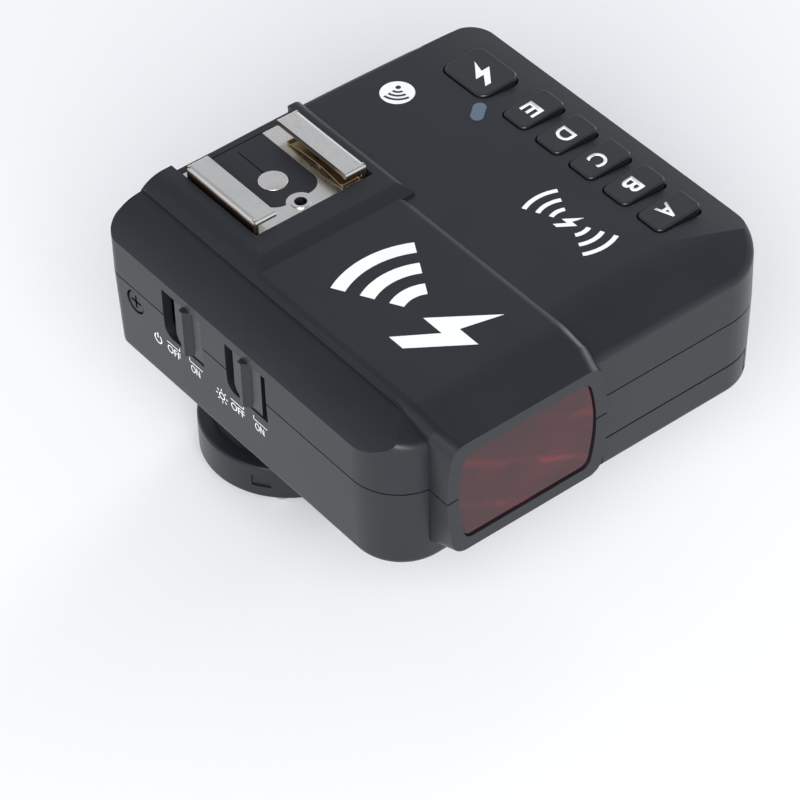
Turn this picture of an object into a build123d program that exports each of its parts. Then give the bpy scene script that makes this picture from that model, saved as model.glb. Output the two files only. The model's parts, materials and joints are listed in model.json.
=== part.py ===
from build123d import *
import math
import os

os.makedirs("parts", exist_ok=True)

# Wireless flash trigger. Millimetres, +Z up, -Y is the front with the red focus-lamp window.
# The origin is the centre of the foot plate's underside, below the centre of the top shoe.

# ---- driving dimensions -------------------------------------------------------------
FOOT_THICK = 2.0  # the standard accessory foot
FOOT_SIZE = (18.6, 18.0)
RAIL_TOP = 58.0  # top of the accessory shoe's rails, the part's full height
SHOE_FLOOR = 55.0
SHEET = 0.9  # shoe sheet metal
RAIL_WIDTH, SHOE_GAP = 21.0, 13.0
RAIL_Y = (-8.3, 8.2)

LEFT, RIGHT, BACK = -24.0, 47.9, 11.4
CROWN_X, CROWN_R = 33.0, 100.0  # the deck falls gently from here to the right edge
LEFT_FRONT, RIGHT_FRONT, HOOD_FRONT = -57.0, -58.3, -61.0
BACK_BULGE = 1.0
HOOD_X = (-16.75, 12.4)
HOOD_ROOT_Y, HOOD_LOW, HOOD_HIGH = -56.8, 32.5, 54.8  # where the hood leaves the body
FRAME, NOSE_WALL = 2.1, 1.1  # the hood's rim round the window, and its wall
BOTTOM, SEAM, DECK, RIDGE, PLATFORM = 29.5, 44.15, 55.2, 55.7, 56.4
SLOPE_Y, SLOPE_RUN, SLOPE_DROP = -50.0, 8.4, 3.2
WALL = 1.6
DRAFT_DEG = 2.0
EDGE_ROUND, BOTTOM_ROUND = 1.4, 1.0
CORNERS = {"left_front": 8.6, "right_front": 9.0, "right_back": 4.2, "left_back": 3.0}
GAP = 0.3  # air between pieces that move past each other
RUN = 0.05  # radial clearance of a running fit

# Keys on the right of the deck
KEY_X, KEY_LENGTH, KEY_WIDTH, KEY_PITCH = 39.55, 8.5, 5.2, 7.74
KEY_FRONT_Y, KEY_TOP, KEY_TRAVEL = -43.3, 55.5, 0.5
KEY_NAMES = "abcde"
TEST_KEY = (39.1, -0.2, 7.8, 10.0)  # centre x, centre y, size x, size y
LAMP = (33.0, -7.1, 4.2, 2.1, 40.0)  # x, y, length, width, turn in degrees
FLANGE, FLANGE_THICK = 0.7, 1.0
KEY_RISE = 0.5  # a deck key's top climbs this much towards the right

# Slide switches in the left wall: y range of each window, shared z range
SWITCH_WINDOWS = {"power": (-12.6, -3.0), "beam": (-28.2, -18.5)}
SWITCH_Z = (40.2, 49.1)
KNOB_LENGTH, KNOB_SINK, RIB_PROUD = 6.7, 0.3, 0.7
KNOB_BACK_Y = {"power": -5.7, "beam": -20.05}
RIB_OFFSET, RIB_WIDTH = -2.9, 1.5

# Back face: display, four keys below it, and the select dial
DISPLAY_X, DISPLAY_Z, DISPLAY_SIZE = 21.0, 45.4, (35.0, 13.2)
BACK_KEY_Z, BACK_KEY_X, BACK_KEY_SIZE = 34.2, (8.4, 16.8, 25.2, 33.6), (6.2, 3.2)
DIAL_X, DIAL_Z, DIAL_R, DIAL_PROUD = -10.6, 42.4, 9.4, 2.0
SET_R = 3.6

# Battery bay for two AA cells lying along Y
CELL_R, CELL_LENGTH, CELL_X, CELL_Z = 7.25, 50.5, (21.55, 36.55), 38.75
CELL_Y = (-54.4, -54.4 + CELL_LENGTH)
BAY_X, BAY_BACK, BAY_TOP = (14.1, 44.5), -1.2, 46.4
DOOR_X, DOOR_BACK, LIP_TOP = (14.4, 43.9), -4.0, 35.2
DOOR_TRAVEL = 5.0
SHOULDER = 2.0  # radius along both sides of the centre band and of the hood's root
TONGUE_FRONT, TONGUE, RAIL_REACH, RAIL_DEPTH = -48.3, 0.9, 1.3, 1.5  # the door's runners

# Foot, its neck and the lock ring
NECK_R, NECK_TOP_R, RING_R, RING_Z = 12.4, 13.6, 14.8, (3.0, 9.0)
TAB, TAB_TURN, MARK_TURN, GRIPS = 8.0, 20.0, 214.0, range(44, 140, 11)  # degrees round the ring
SPIGOT_R, STEM_WIDTH, STEM_LENGTH = 8.25, 12.0, 16.0
LOCK_PIN = (0.0, -6.2, 1.2)
CONTACTS = [(0.0, 0.0, 1.1)] + [(x, y, 0.75) for x in (-4.2, 4.2) for y in (-2.6, 2.6)]
CONTACT_PROUD, CONTACT_TRAVEL = 0.5, 0.5
FOOT_SCREWS = [(x, y) for x in (-2.9, 2.9) for y in (-5.9, 5.9)]

# Parts of the accessory shoe, and the screw in the left wall
CENTRE_CONTACT = (-0.5, 0.3, 2.3)  # x, y, radius
LOCK_HOLE = (-0.3, -6.2, 1.0, 1.55)  # x, y, radius, radius of its raised ring
SPRING_X, SPRING_Y, SPRING_BOW, SPRING_THICK = (6.35, 9.4), (-7.6, 5.6), 0.75, 0.25
SIDE_SCREW = (4.6, 41.3)  # y, z
RIM_TOP = 60.0  # a height above everything, where cuts from the top start

# Sockets in the right wall
JACK = (3.2, 40.0, 1.25)  # y, z, radius of the 2.5 mm sync jack
JACK_DEPTH = 11.0
USB = (4.7, 34.4, 8.9, 3.2)  # y, z, width, height
USB_DEPTH = 7.3

BOARD = 1.0  # thickness of a circuit board


# ---- helpers ------------------------------------------------------------------------
def block(x, y, z):
    """A box between two limits on each axis."""
    spans = (x, y, z)
    middle = [(low + high) / 2 for low, high in spans]
    return Pos(*middle) * Box(*(high - low for low, high in spans))


def along_x(face, x0, x1):
    """Push a face drawn in (y, z) from x0 to x1."""
    plane = Plane(origin=(x0, 0, 0), x_dir=(0, 1, 0), z_dir=(1, 0, 0))
    return extrude(plane * face, amount=x1 - x0)


def along_y(face, y0, y1):
    """Push a face drawn in (x, z) from y1 forward to y0."""
    plane = Plane(origin=(0, y1, 0), x_dir=(1, 0, 0), z_dir=(0, -1, 0))
    return extrude(plane * face, amount=y1 - y0)


def along_z(face, z0, z1):
    """Push a face drawn in (x, y) from z0 up to z1."""
    return extrude(Pos(0, 0, z0) * face, amount=z1 - z0)


def rod_x(y, z, radius, x0, x1):
    return along_x(Pos(y, z) * Circle(radius), x0, x1)


def rod_y(x, z, radius, y0, y1):
    return along_y(Pos(x, z) * Circle(radius), y0, y1)


def rod_z(x, y, radius, z0, z1):
    return along_z(Pos(x, y) * Circle(radius), z0, z1)


def pad(x, y, width, depth, radius):
    """A rounded rectangle centred on x, y."""
    return Pos(x, y) * RectangleRounded(width, depth, radius)


def corner(face, x, y):
    """The vertex of a face nearest to a point."""
    return min(face.vertices(), key=lambda v: math.hypot(v.X - x, v.Y - y))


def save(shape, name):
    export_step(shape, f"parts/{name}.step")


# ---- body form ----------------------------------------------------------------------
def plan_face(inset):
    """Outline of the body seen from above, without the hood, moved in by inset."""
    left, right, back = LEFT + inset, RIGHT - inset, BACK - inset
    left_front, front = LEFT_FRONT + inset, RIGHT_FRONT + inset
    step_x = sum(HOOD_X) / 2
    sides = Polyline(
        (left, back), (left, left_front), (step_x, left_front),
        (step_x, front), (right, front), (right, back),
    )
    bowed = ThreePointArc((right, back), ((left + right) / 2, back + BACK_BULGE), (left, back))
    face = make_face(sides + bowed)
    places = {
        "left_front": (left, left_front), "right_front": (right, front),
        "right_back": (right, back), "left_back": (left, back),
    }
    for name, (x, y) in places.items():
        face = fillet(corner(face, x, y), CORNERS[name] - inset)
    return face


def side_face(top, crease_y, run, drop, soften, inset):
    """Side view of a top surface that is level, then falls away to the front."""
    top -= inset
    reach = 2.0  # carries the slope on past the front face
    end_y, end_z = crease_y - run * reach, top - drop * reach
    face = make_face(Polyline(
        (40, 0), (40, top), (crease_y, top), (end_y, end_z), (end_y, 0), close=True,
    ))
    return fillet(corner(face, crease_y, top), soften)


def crown_face(inset):
    """Front view of the space under the deck, which falls gently towards the right."""
    top, end_x = DECK - inset, RIGHT + 5
    mid_x = (CROWN_X + end_x) / 2

    def fall(x):
        return top - (CROWN_R - math.sqrt(CROWN_R ** 2 - (x - CROWN_X) ** 2))

    arc = ThreePointArc((CROWN_X, top), (mid_x, fall(mid_x)), (end_x, fall(end_x)))
    sides = Polyline((end_x, fall(end_x)), (end_x, 0), (-60, 0), (-60, DECK + 3),
                     (CROWN_X, DECK + 3), (CROWN_X, top))
    return make_face(arc + sides)


def main_block(inset):
    """The body without hood and ridge, with its rounded top edge and left slope."""
    outline = plan_face(inset)
    upper = along_z(outline, SEAM, DECK + 1)
    lower = extrude(Pos(0, 0, SEAM) * outline, amount=-(SEAM - BOTTOM - inset), taper=DRAFT_DEG)
    upper &= along_x(side_face(DECK, SLOPE_Y, SLOPE_RUN, SLOPE_DROP, 14, inset), -60, 80)
    rim = outline.face().outer_wire()
    edges = []
    for edge in upper.edges():
        middle, size = edge @ 0.5, edge.bounding_box().size
        upright = size.Z > 0.5 and size.X < 0.01 and size.Y < 0.01
        on_rim = rim.distance_to(Vertex(middle.X, middle.Y, 0)) < 0.02
        if on_rim and middle.Z > SEAM + 5 and not upright:
            edges.append(edge)
    if inset == 0:
        upper = fillet(ShapeList(edges), EDGE_ROUND)
    upper &= along_y(crown_face(inset), HOOD_FRONT - 5, BACK + 5)
    crest, crease, side = (-16.7, 54.7 - inset), (-20.6, 53.4 - inset), (LEFT, 50.8 - inset)
    sky = DECK + 5
    slope = make_face(
        ThreePointArc(crest, crease, side)
        + Polyline(side, (LEFT - 5, side[1] - 5), (LEFT - 5, sky), (crest[0], sky), crest)
    )
    upper -= along_y(slope, HOOD_FRONT - 5, BACK + 5)
    if inset == 0:
        lower = fillet(lower.edges().group_by(Axis.Z)[0], BOTTOM_ROUND)
    return upper + lower


def bowed_pane(left, right, low, high, bow, radius):
    """A rounded rectangle in (x, z) whose two upright sides bow outwards."""
    middle = (low + high) / 2
    face = make_face(
        Line((left, low), (right, low))
        + ThreePointArc((right, low), (right + bow, middle), (right, high))
        + Line((right, high), (left, high))
        + ThreePointArc((left, high), (left - bow, middle), (left, low))
    )
    return fillet(face.vertices(), radius)


def window_face(grow):
    """The red window's outline in (x, z)."""
    return bowed_pane(-13.6 - grow, 9.1 + grow, 35.3 - grow, 51.7 + grow, 1.3, 1.6 + grow / 2)


def nose(inset, wall):
    """The hood in front of the body, from its root to the rim round the window."""
    left, right = HOOD_X[0] + wall, HOOD_X[1] - wall
    root = bowed_pane(left, right, HOOD_LOW + wall, HOOD_HIGH - wall, 0.2, SHOULDER)
    rim = window_face(FRAME - wall)
    front = Plane(origin=(0, HOOD_FRONT + inset, 0), x_dir=(1, 0, 0), z_dir=(0, -1, 0))
    back = Plane(origin=(0, HOOD_ROOT_Y, 0), x_dir=(1, 0, 0), z_dir=(0, -1, 0))
    return loft([back * root.face(), front * rim.face()])


def ridge_block(inset):
    """The raised centre band that ends at the front as the hood round the red window."""
    left, right = HOOD_X[0] + inset, HOOD_X[1] - inset
    top, low = RIDGE - inset, HOOD_LOW + inset + 1
    section = make_face(Polyline((left, low), (left, top), (right, top), (right, low), close=True))
    band = along_y(section, HOOD_ROOT_Y - 0.1, BACK - 2)
    band &= along_x(side_face(RIDGE, -52.5, 8.5, 1.8, 12, inset), -60, 60)
    if inset == 0:
        for side in (left, right):
            shoulder = [e for e in band.edges() if e.center().Z > SEAM + 8
                        and abs(e.center().X - side) < 0.01 and e.bounding_box().size.Y > 0.5]
            band = fillet(ShapeList(shoulder), SHOULDER)
    return band + nose(inset, NOSE_WALL if inset else 0)


def platform_block():
    """The raised frame round the accessory shoe, with a rounded bar in front of it."""
    section = make_face(
        ThreePointArc((-16.7, 54.7), (-14.9, 55.9), (-12.2, PLATFORM))
        + Line((-12.2, PLATFORM), (12.0, PLATFORM))
        + ThreePointArc((12.0, PLATFORM), (13.1, 56.0), (13.6, 55.1))
        + Polyline((13.6, 55.1), (13.6, 50), (-16.7, 50), (-16.7, 54.7))
    )
    foot_y, crest_y, top = -16.0, -11.6, PLATFORM + 0.1
    middle = (foot_y + crest_y) / 2
    rise = ThreePointArc((foot_y, RIDGE - 0.1), (middle, top - 0.2), (crest_y, top))
    profile = make_face(rise + Polyline((crest_y, top), (20, top), (20, 50), (foot_y, 50),
                                        (foot_y, RIDGE - 0.1)))
    return along_y(section, foot_y, BACK + 0.2) & along_x(profile, -20, 20)


def body_form(inset):
    form = main_block(inset) + ridge_block(inset)
    return form


# ---- housing ------------------------------------------------------------------------
def key_places():
    return {name: KEY_FRONT_Y + KEY_PITCH * i for i, name in enumerate(KEY_NAMES)}


def lamp_face(grow):
    x, y, length, width, turn = LAMP
    return Pos(x, y) * Rot(0, 0, turn) * SlotOverall(length + 2 * grow, width + 2 * grow)


def display_face(grow):
    width, height = DISPLAY_SIZE
    return pad(DISPLAY_X, DISPLAY_Z, width + 2 * grow, height + 2 * grow, 1.2 + grow)


def back_wall_y(x, z=SEAM):
    """Where the bowed back face lies, with the draft below the seam."""
    middle, half = (LEFT + RIGHT) / 2, (RIGHT - LEFT) / 2
    radius = (half ** 2 + BACK_BULGE ** 2) / (2 * BACK_BULGE)
    draft = math.tan(math.radians(DRAFT_DEG)) * max(SEAM - z, 0)
    return BACK + BACK_BULGE - radius + math.sqrt(radius ** 2 - (x - middle) ** 2) - draft


def switch_window(name):
    y0, y1 = SWITCH_WINDOWS[name]
    z0, z1 = SWITCH_Z
    face = make_face(Polyline((y0, z0), (y1, z0), (y1, z1), (y0, z1), close=True))
    return fillet(corner(face, y1, z0), 1.8)


def shell():
    """The whole hollow case before it is split and pierced."""
    outer = body_form(0) + platform_block()
    inner = main_block(WALL) + ridge_block(WALL)
    hollow = outer - inner
    shoe_pad = block((-13, 13), (-12, BACK - 0.8), (52.8, 54.9))
    return outer, hollow + shoe_pad


def shoe_recess():
    """The floor and channel that the shoe plate and a flash's foot lie in."""
    channel = block((-10.9, 10.9), (-9.4, BACK + 5), (SHOE_FLOOR, PLATFORM + 1))
    seat = block((-10.9, 10.9), (-8.7, 10.5), (SHOE_FLOOR - SHEET, SHOE_FLOOR + 0.1))
    hole = rod_z(*LOCK_HOLE[:2], LOCK_HOLE[2] + GAP, PLATFORM - 6, SHOE_FLOOR)
    return channel + seat + hole


def key_openings():
    cuts = [along_z(pad(KEY_X, y, KEY_LENGTH + 2 * GAP, KEY_WIDTH + 2 * GAP, 1.3), SEAM + 5, RIM_TOP)
            for y in key_places().values()]
    x, y, width, depth = TEST_KEY
    cuts.append(along_z(pad(x, y, width + 2 * GAP, depth + 2 * GAP, 2.0), SEAM + 5, RIM_TOP))
    cuts.append(along_z(lamp_face(0.02), SEAM + 5, RIM_TOP))
    return cuts


def back_openings():
    cuts = [along_y(display_face(0.05), 9, 16)]
    width, height = BACK_KEY_SIZE
    cuts += [along_y(pad(x, BACK_KEY_Z, width + 2 * GAP, height + 2 * GAP, 1.2), 9, 16)
             for x in BACK_KEY_X]
    cuts.append(rod_y(DIAL_X, DIAL_Z, DIAL_R + GAP, back_wall_y(DIAL_X) - 1.0, 16))
    cuts.append(rod_y(DIAL_X, DIAL_Z, 5.2, 7, 16))
    return cuts


def side_openings():
    cuts = [along_x(switch_window(name), LEFT - 2, LEFT + WALL + 1) for name in SWITCH_WINDOWS]
    cuts.append(rod_x(JACK[0], JACK[1], 3.05, RIGHT - WALL - 1, RIGHT + 1))
    y, z, width, height = USB
    cuts.append(along_x(pad(y, z, width + 0.1, height + 0.1, height / 2), RIGHT - 3, RIGHT + 1))
    cuts.append(rod_x(*SIDE_SCREW, 2.1, LEFT - 1, LEFT + 1.1))
    cuts.append(rod_x(*SIDE_SCREW, 0.85, LEFT - 1, LEFT + 3))
    return cuts


def top_housing(hollow):
    case = hollow & block((-60, 60), (-70, 20), (SEAM, 70))
    case -= shoe_recess()
    case -= along_y(window_face(0.03), HOOD_FRONT - 2, HOOD_FRONT + WALL + 2)
    for cut in key_openings() + back_openings() + side_openings():
        case -= cut
    return keep_largest(case)


def keep_largest(shape):
    """Drop any crumb that a cut leaves loose."""
    return max(shape.solids(), key=lambda s: s.volume)


def battery_tray(outer):
    """Walls and roof of the battery bay, moulded with the bottom housing."""
    x0, x1 = BAY_X
    walls = block((x0 - 1.8, RIGHT - 0.5), (-57.0, BAY_BACK + 1.2), (30, BAY_TOP + 1))
    below = walls & block((-60, 60), (-70, 20), (0, SEAM)) & outer
    room = main_block(WALL + 0.25)
    above = walls & block((-60, 60), (-70, 20), (SEAM - 0.5, 70)) & room
    return below + above


def bay_hollow():
    bay = block(BAY_X, (-58, BAY_BACK), (20, BAY_TOP))
    return bay & main_block(WALL - 0.01)


def door_opening(grow):
    """Floor and lip that the battery door fills, widened by grow."""
    x0, x1 = DOOR_X
    floor = block((x0 - grow, x1 + grow), (-70, DOOR_BACK + grow), (20, BOTTOM + WALL + grow))
    lip = block((x0 - grow, x1 + grow), (-70, RIGHT_FRONT + WALL + grow), (20, LIP_TOP + grow))
    return floor + lip


def bottom_housing(outer, hollow):
    case = hollow & block((-60, 60), (-70, 20), (0, SEAM))
    groove = along_z(plan_face(-1), SEAM - 0.25, SEAM) - along_z(plan_face(0.3), SEAM - 0.3, SEAM + 1)
    case -= groove - block((HOOD_X[0], HOOD_X[1]), (-70, -50), (40, 50))
    slot = block((HOOD_X[0] - 1, HOOD_X[1] + 1), (HOOD_FRONT - 1, HOOD_ROOT_Y), (SEAM - 0.25, SEAM))
    case -= slot - block((HOOD_X[0] + 0.1, HOOD_X[1] - 0.1), (HOOD_FRONT + 0.3, 0), (40, 50))
    case += battery_tray(outer)
    case -= bay_hollow()
    case -= door_opening(GAP / 2)
    rail_y = (TONGUE_FRONT - DOOR_TRAVEL - GAP, DOOR_BACK + GAP)
    rail_z = (BOTTOM + WALL, BOTTOM + WALL + RAIL_DEPTH)
    for side, outwards in zip(DOOR_X, (-1, 1)):
        case -= block(sorted((side, side + outwards * RAIL_REACH)), rail_y, rail_z)
    case -= along_y(window_face(0.03), HOOD_FRONT - 2, HOOD_FRONT + WALL + 2)
    for cut in back_openings() + side_openings():
        case -= cut
    for x, y in case_screw_places():
        boss = rod_z(x, y, 2.6, BOTTOM + 0.5, SEAM - 0.4)
        case += boss - block((-60, 60), (-70, 20), (0, BOTTOM + 1))
        case -= rod_z(x, y, 2.05, 0, BOTTOM + 2.2)
        case -= rod_z(x, y, 0.9, BOTTOM, SEAM)
    return keep_largest(case)


def battery_door(outer):
    shell_part = outer - main_block(WALL)
    door = shell_part & door_opening(-GAP / 2)
    tongue_y = (TONGUE_FRONT, DOOR_BACK - GAP)
    tongue_z = (BOTTOM + WALL + 0.25, BOTTOM + WALL + 1.2)
    for x0, x1 in ((DOOR_X[0] - TONGUE, DOOR_X[0] + 1.2), (DOOR_X[1] - 1.2, DOOR_X[1] + TONGUE)):
        door += block((x0, x1), tongue_y, tongue_z)
        inner = (max(x0, DOOR_X[0] + 0.15), min(x1, DOOR_X[1] - 0.15))
        door += block(inner, tongue_y, (BOTTOM + 1, tongue_z[1]))
    for i in range(5):
        y = -30 + 2.2 * i
        door -= block((22, 36), (y, y + 0.9), (BOTTOM - 1, BOTTOM + 0.35))
    return keep_largest(door)


def case_screw_places():
    return [(-19.6, 8.1), (-18.2, -50.6), (9.2, -52.8), (30.0, 2.9)]


def machine_screw(head_r, head_h, shank_r, length):
    """Pan screw with a cross recess, head up at z = 0, shank going down."""
    head = rod_z(0, 0, head_r, -head_h, 0)
    head = fillet(head.edges().group_by(Axis.Z)[-1], head_h * 0.4)
    screw = head + rod_z(0, 0, shank_r, -head_h - length, -head_h)
    arm, deep = head_r * 0.62, head_h * 0.55
    for width, depth in ((2 * arm, 0.42), (0.42, 2 * arm)):
        screw -= block((-width / 2, width / 2), (-depth / 2, depth / 2), (-deep, 1))
    return screw


def case_screws():
    """Four screws up through the floor and one into the left wall."""
    up = Rot(180, 0, 0)
    screws = [Pos(x, y, BOTTOM + 0.9) * up * machine_screw(1.9, 1.25, 0.88, 9) for x, y in
              case_screw_places()]
    screws.append(Pos(LEFT + 0.25, *SIDE_SCREW) * Rot(0, -90, 0) * machine_screw(1.95, 0.8, 0.8, 1.6))
    return Compound(children=screws)


# ---- accessory shoe -----------------------------------------------------------------
def insulator_face():
    face = make_face(Polyline((-5.2, -5.4), (5.0, -5.4), (5.0, 10.3), (-5.2, 10.3), close=True))
    face = fillet(face.vertices().group_by(Axis.Y)[0], 3.0)
    return face - Pos(*LOCK_HOLE[:2]) * Circle(2.2)


def shoe_rails():
    """Bent sheet: floor plate, two side walls and two inward lips."""
    half, lip = RAIL_WIDTH / 2, SHOE_GAP / 2
    outer = make_face(Polyline(
        (-half, SHOE_FLOOR - SHEET), (half, SHOE_FLOOR - SHEET), (half, RAIL_TOP), (-half, RAIL_TOP),
        close=True,
    ))
    outer = fillet(outer.vertices(), SHEET * 0.95)
    inner = pad(0, (SHOE_FLOOR + RAIL_TOP - SHEET) / 2, RAIL_WIDTH - 2 * SHEET,
                RAIL_TOP - SHEET - SHOE_FLOOR, 0.25)
    channel = along_y(outer, *RAIL_Y) - along_y(inner, RAIL_Y[0] - 1, RAIL_Y[1] + 1)
    channel -= block((-lip, lip), (-20, 20), (SHOE_FLOOR, RAIL_TOP + 1))
    plate = block((-half + 0.6, half - 0.6), (RAIL_Y[1] - 0.5, 10.3), (SHOE_FLOOR - SHEET, SHOE_FLOOR))
    rails = channel + plate
    rails -= along_z(insulator_face(), 50, SHOE_FLOOR + 0.05)
    for side in (-1, 1):
        x0, x1 = sorted((side * (half - 0.25), side * lip))
        rails += rod_x(RAIL_Y[0] + 0.25, RAIL_TOP - 0.56, 0.56, x0, x1)
        rails += rod_x(RAIL_Y[1] - 0.1, RAIL_TOP - 0.5, 0.5, x0, x1)
    x, y, radius, ring = LOCK_HOLE
    rails += rod_z(x, y, ring, SHOE_FLOOR - SHEET, SHOE_FLOOR + 0.12)
    rails -= rod_z(x, y, radius, SHOE_FLOOR - 2, RIM_TOP)
    return rails


def shoe_insulator():
    panel = along_z(insulator_face(), SHOE_FLOOR - SHEET, SHOE_FLOOR - 0.02)
    x, y, radius = CENTRE_CONTACT
    panel -= rod_z(x, y, radius + RUN, SHOE_FLOOR - 2, RIM_TOP)
    panel -= block((-0.62, -0.38), (2.5, 9.0), (SHOE_FLOOR - 0.2, SHOE_FLOOR + 1))
    return panel


def shoe_centre_contact():
    pin = rod_z(*CENTRE_CONTACT, SHOE_FLOOR - SHEET, SHOE_FLOOR + 0.1)
    return fillet(pin.edges().group_by(Axis.Z)[-1], 0.1)


def shoe_leaf_spring():
    """Bowed strip in the right-hand channel that grips a foot."""
    (x0, x1), (y0, y1) = SPRING_X, SPRING_Y
    middle, low, thick = (y0 + y1) / 2, SHOE_FLOOR + 0.03, SPRING_THICK
    top = ThreePointArc((y0, low + thick), (middle, low + thick + SPRING_BOW), (y1, low + thick))
    under = ThreePointArc((y1, low), (middle, low + SPRING_BOW), (y0, low))
    face = make_face(top + Line((y1, low + thick), (y1, low)) + under
                     + Line((y0, low), (y0, low + thick)))
    strip = along_x(face, x0, x1)
    for y, radius in ((y0, 0.35), (y1, 0.3)):  # curled ends
        strip += rod_x(y, low + radius, radius, x0, x1)
    strip -= rod_z(7.3, -0.9, 0.65, SHOE_FLOOR - 2, RIM_TOP)
    return strip


# ---- keys, lamp, window -------------------------------------------------------------
def deck_key(x, y, width, depth, radius):
    """A key cap with a retaining flange under the deck."""
    low, left, right = DECK - WALL - GAP, x - width / 2, x + width / 2
    cap = along_z(pad(x, y, width, depth, radius), low, KEY_TOP + 2 * KEY_RISE)
    cap &= along_y(make_face(Polyline((left, low), (left, KEY_TOP), (right, KEY_TOP + KEY_RISE),
                                      (right, low), close=True)), y - depth, y + depth)
    cap = fillet(cap.faces().sort_by(Axis.Z)[-1].edges(), 0.3)
    flange = along_z(pad(x, y, width + 2 * FLANGE, depth + 2 * FLANGE, radius), low - FLANGE_THICK, low)
    limit = block((x - width, RIGHT - WALL - 1.6), (y - depth, y + depth), (40, 60))
    return cap + (flange & limit)


def back_key(x):
    width, height = BACK_KEY_SIZE
    face = back_wall_y(x, BACK_KEY_Z - BACK_KEY_SIZE[1])
    cap = along_y(pad(x, BACK_KEY_Z, width, height, 0.9), face - WALL - GAP, face + 0.5)
    cap = fillet(cap.edges().group_by(Axis.Y)[-1], 0.3)
    flange = along_y(pad(x, BACK_KEY_Z, width + 1.2, height + 1.0, 0.9),
                     face - WALL - GAP - 0.9, face - WALL - GAP)
    return cap + flange


def select_dial():
    """Knurled ring round the set key, on a hub that runs in the back wall."""
    face = back_wall_y(DIAL_X)
    ring = rod_y(DIAL_X, DIAL_Z, DIAL_R, face - 0.7, face + DIAL_PROUD)
    ring = fillet(ring.edges().group_by(Axis.Y)[-1], 0.6)
    count = 36
    for i in range(count):
        turn = math.radians(360 / count * i)
        x, z = DIAL_X + DIAL_R * math.cos(turn), DIAL_Z + DIAL_R * math.sin(turn)
        ring -= rod_y(x, z, 0.32, face, face + DIAL_PROUD + 1)
    hub = rod_y(DIAL_X, DIAL_Z, 5.2 - RUN, face - WALL - 1.6, face - 0.7)
    return ring + hub - rod_y(DIAL_X, DIAL_Z, SET_R + GAP, face - 10, face + 10)


def set_key():
    face = back_wall_y(DIAL_X)
    cap = rod_y(DIAL_X, DIAL_Z, SET_R, face - WALL - 1.2, face + DIAL_PROUD + 0.3)
    return fillet(cap.edges().group_by(Axis.Y)[-1], 0.5)


def switch_knob(name):
    """Sliding plate with a finger rib, a flange behind the wall and a drive tab."""
    y1 = KNOB_BACK_Y[name]
    y0, z0, z1 = y1 - KNOB_LENGTH, SWITCH_Z[0] + 0.2, SWITCH_Z[1] - 0.2
    face = LEFT + KNOB_SINK
    plate = make_face(Polyline((y0, z0), (y1, z0), (y1, z1), (y0, z1), close=True))
    knob = along_x(fillet(corner(plate, y1, z0), 2.0), face, LEFT + WALL + 0.3)
    rib_y = y1 + RIB_OFFSET
    section = make_face(Polyline(
        (face + 0.2, rib_y - RIB_WIDTH), (LEFT - RIB_PROUD, rib_y - RIB_WIDTH / 4),
        (LEFT - RIB_PROUD, rib_y + RIB_WIDTH / 4), (face + 0.2, rib_y + RIB_WIDTH / 2), close=True,
    ))
    knob += along_z(section, z0, z1)
    flange_x = (LEFT + WALL + 0.3, LEFT + WALL + 1.1)
    knob += block(flange_x, (y0 - 0.6, y1 + 0.6), (z0 - 0.8, z1 + 0.3))
    middle = (y0 + y1) / 2
    knob += block((flange_x[1], -19.7), (middle - 0.9, middle + 0.9), (43.5, 45.7))
    return knob


def slide_switch(name):
    """Switch on the main board, slotted for the knob's drive tab."""
    y1 = KNOB_BACK_Y[name]
    middle = y1 - KNOB_LENGTH / 2
    body = block((-20.9, -16.4), (middle - 5, middle + 5), (42.2, 47.2))
    return body - block((-21.5, -19.2), (middle - 3.7, middle + 3.9), (43.1, 46.1))


def red_window():
    pane = along_y(window_face(0), HOOD_FRONT + 0.35, HOOD_FRONT + WALL)
    pane = fillet(pane.edges().group_by(Axis.Y)[0], 0.25)
    flange = along_y(window_face(0.9), HOOD_FRONT + WALL + 0.02, HOOD_FRONT + WALL + 0.9)
    limit = block((HOOD_X[0] + WALL + 0.05, HOOD_X[1] - WALL - 0.05), (-70, 0), (BOTTOM + 2, RIDGE - 3))
    return pane + along_y(window_face(-0.4), HOOD_FRONT + WALL - 0.1, HOOD_FRONT + WALL + 0.5) + (
        flange & limit)


# ---- inside -------------------------------------------------------------------------
def focus_lamp():
    """Lamp board behind the red window, with two emitters and their lens barrels."""
    board = block((-11.5, 6.2), (-54.5, -53.5), (37, 50))
    barrels = Compound(children=[rod_y(x, 43.5, 3.4, -58.0, -54.5) for x in (-6.7, 2.3)])
    return board, barrels


def aa_cell(x):
    y0, y1 = CELL_Y
    can = rod_y(x, CELL_Z, CELL_R, y0 + 1.0, y1)
    can = fillet(can.edges(), 0.6)
    return can + rod_y(x, CELL_Z, 2.75, y0, y0 + 1.2)


def coil_spring(x, y0, y1):
    """Conical battery spring as three stacked rings."""
    rings = []
    for i in range(3):
        y = y0 + 0.4 + (y1 - y0 - 0.8) * i / 2
        radius = 4.2 - 0.9 * i
        rings.append(Pos(x, y, CELL_Z) * Rot(90, 0, 0) * Torus(radius, 0.38))
    return rings


def battery_contacts():
    rear = [block((x - 5, x + 5), (BAY_BACK - 0.5, BAY_BACK - 0.05), (34, 43)) for x in CELL_X]
    front_y = -56.3
    bridge = block((CELL_X[0] - 5, CELL_X[1] + 4), (front_y, front_y + 0.45), (37.5, 43))
    return Compound(children=rear + [bridge] + [
        ring for x in CELL_X for ring in coil_spring(x, CELL_Y[1] + 0.1, BAY_BACK - 0.55)])


def main_board():
    outline = block((-19, 11.5), (-50, 4.5), (40.6, 40.6 + BOARD))
    for x, y in case_screw_places():
        outline -= rod_z(x, y, 3.0, 30, 50)
    return outline


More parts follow.
